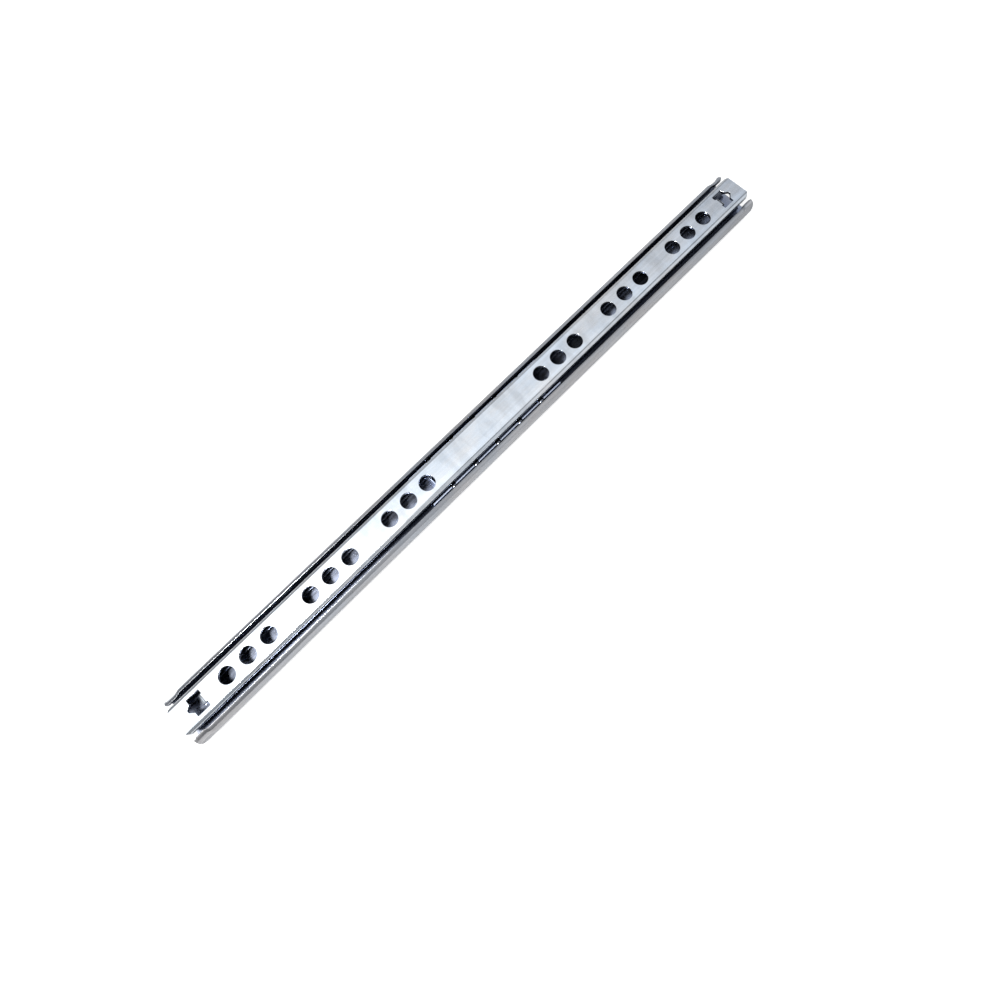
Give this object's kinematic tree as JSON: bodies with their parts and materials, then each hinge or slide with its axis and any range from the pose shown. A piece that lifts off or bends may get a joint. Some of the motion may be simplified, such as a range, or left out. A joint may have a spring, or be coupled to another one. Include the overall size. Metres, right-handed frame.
{
  "type": "drawer slide",
  "caption": "Slim ball bearing drawer slide: a rolled steel channel rail, a grooved inner rail with fixing holes, and a ball cage running between them at half speed.",
  "frame": {"origin": "centre of the outer rail's mounting face, half way along the slide", "axes": "+X along the slide, +Y across it, +Z out of the mounting face towards the inner rail"},
  "size_m": [0.2474, 0.017, 0.0079],
  "materials": {
    "outer_zinc": "bright zinc plate, satin",
    "inner_zinc": "bright zinc plate, bluish",
    "cage_zinc": "zinc plate, satin",
    "ball_steel": "polished"
  },
  "bodies": {
    "outer": {"outer_rail": "outer_zinc"},
    "inner": {"inner_rail": "inner_zinc"},
    "cage": {"ball_cage": "cage_zinc"},
    "ball_left_1": {"ball_left_1": "ball_steel"},
    "ball_left_2": {"ball_left_2": "ball_steel"},
    "ball_left_3": {"ball_left_3": "ball_steel"},
    "ball_left_4": {"ball_left_4": "ball_steel"},
    "ball_left_5": {"ball_left_5": "ball_steel"},
    "ball_right_1": {"ball_right_1": "ball_steel"},
    "ball_right_2": {"ball_right_2": "ball_steel"},
    "ball_right_3": {"ball_right_3": "ball_steel"},
    "ball_right_4": {"ball_right_4": "ball_steel"},
    "ball_right_5": {"ball_right_5": "ball_steel"}
  },
  "joints": [
    {"name": "drawer_slide", "type": "slide", "parent": "outer", "child": "inner", "axis": [1, 0, 0], "range_m": [-0.18, 0.18]},
    {"name": "cage_travel", "type": "slide", "parent": "outer", "child": "cage", "axis": [1, 0, 0], "range_m": [-0.09, 0.09]},
    {"name": "ball_left_1_roll", "type": "hinge", "parent": "cage", "child": "ball_left_1", "pos_m": [-0.0197, 0.00565, 0.00315], "axis": [0, 0, 1], "range_deg": [-2950, 2950]},
    {"name": "ball_left_2_roll", "type": "hinge", "parent": "cage", "child": "ball_left_2", "pos_m": [-0.00985, 0.00565, 0.00315], "axis": [0, 0, 1], "range_deg": [-2950, 2950]},
    {"name": "ball_left_3_roll", "type": "hinge", "parent": "cage", "child": "ball_left_3", "pos_m": [0, 0.00565, 0.00315], "axis": [0, 0, 1], "range_deg": [-2950, 2950]},
    {"name": "ball_left_4_roll", "type": "hinge", "parent": "cage", "child": "ball_left_4", "pos_m": [0.00985, 0.00565, 0.00315], "axis": [0, 0, 1], "range_deg": [-2950, 2950]},
    {"name": "ball_left_5_roll", "type": "hinge", "parent": "cage", "child": "ball_left_5", "pos_m": [0.0197, 0.00565, 0.00315], "axis": [0, 0, 1], "range_deg": [-2950, 2950]},
    {"name": "ball_right_1_roll", "type": "hinge", "parent": "cage", "child": "ball_right_1", "pos_m": [-0.0197, -0.00565, 0.00315], "axis": [0, 0, 1], "range_deg": [-2950, 2950]},
    {"name": "ball_right_2_roll", "type": "hinge", "parent": "cage", "child": "ball_right_2", "pos_m": [-0.00985, -0.00565, 0.00315], "axis": [0, 0, 1], "range_deg": [-2950, 2950]},
    {"name": "ball_right_3_roll", "type": "hinge", "parent": "cage", "child": "ball_right_3", "pos_m": [0, -0.00565, 0.00315], "axis": [0, 0, 1], "range_deg": [-2950, 2950]},
    {"name": "ball_right_4_roll", "type": "hinge", "parent": "cage", "child": "ball_right_4", "pos_m": [0.00985, -0.00565, 0.00315], "axis": [0, 0, 1], "range_deg": [-2950, 2950]},
    {"name": "ball_right_5_roll", "type": "hinge", "parent": "cage", "child": "ball_right_5", "pos_m": [0.0197, -0.00565, 0.00315], "axis": [0, 0, 1], "range_deg": [-2950, 2950]}
  ],
  "couplings": [
    {"joint": "cage_travel", "follows": "drawer_slide", "ratio": 0.5},
    {"joint": "ball_left_1_roll", "follows": "drawer_slide", "rad_per_m": 285.71},
    {"joint": "ball_left_2_roll", "follows": "drawer_slide", "rad_per_m": 285.71},
    {"joint": "ball_left_3_roll", "follows": "drawer_slide", "rad_per_m": 285.71},
    {"joint": "ball_left_4_roll", "follows": "drawer_slide", "rad_per_m": 285.71},
    {"joint": "ball_left_5_roll", "follows": "drawer_slide", "rad_per_m": 285.71},
    {"joint": "ball_right_1_roll", "follows": "drawer_slide", "rad_per_m": -285.71},
    {"joint": "ball_right_2_roll", "follows": "drawer_slide", "rad_per_m": -285.71},
    {"joint": "ball_right_3_roll", "follows": "drawer_slide", "rad_per_m": -285.71},
    {"joint": "ball_right_4_roll", "follows": "drawer_slide", "rad_per_m": -285.71},
    {"joint": "ball_right_5_roll", "follows": "drawer_slide", "rad_per_m": -285.71}
  ]
}
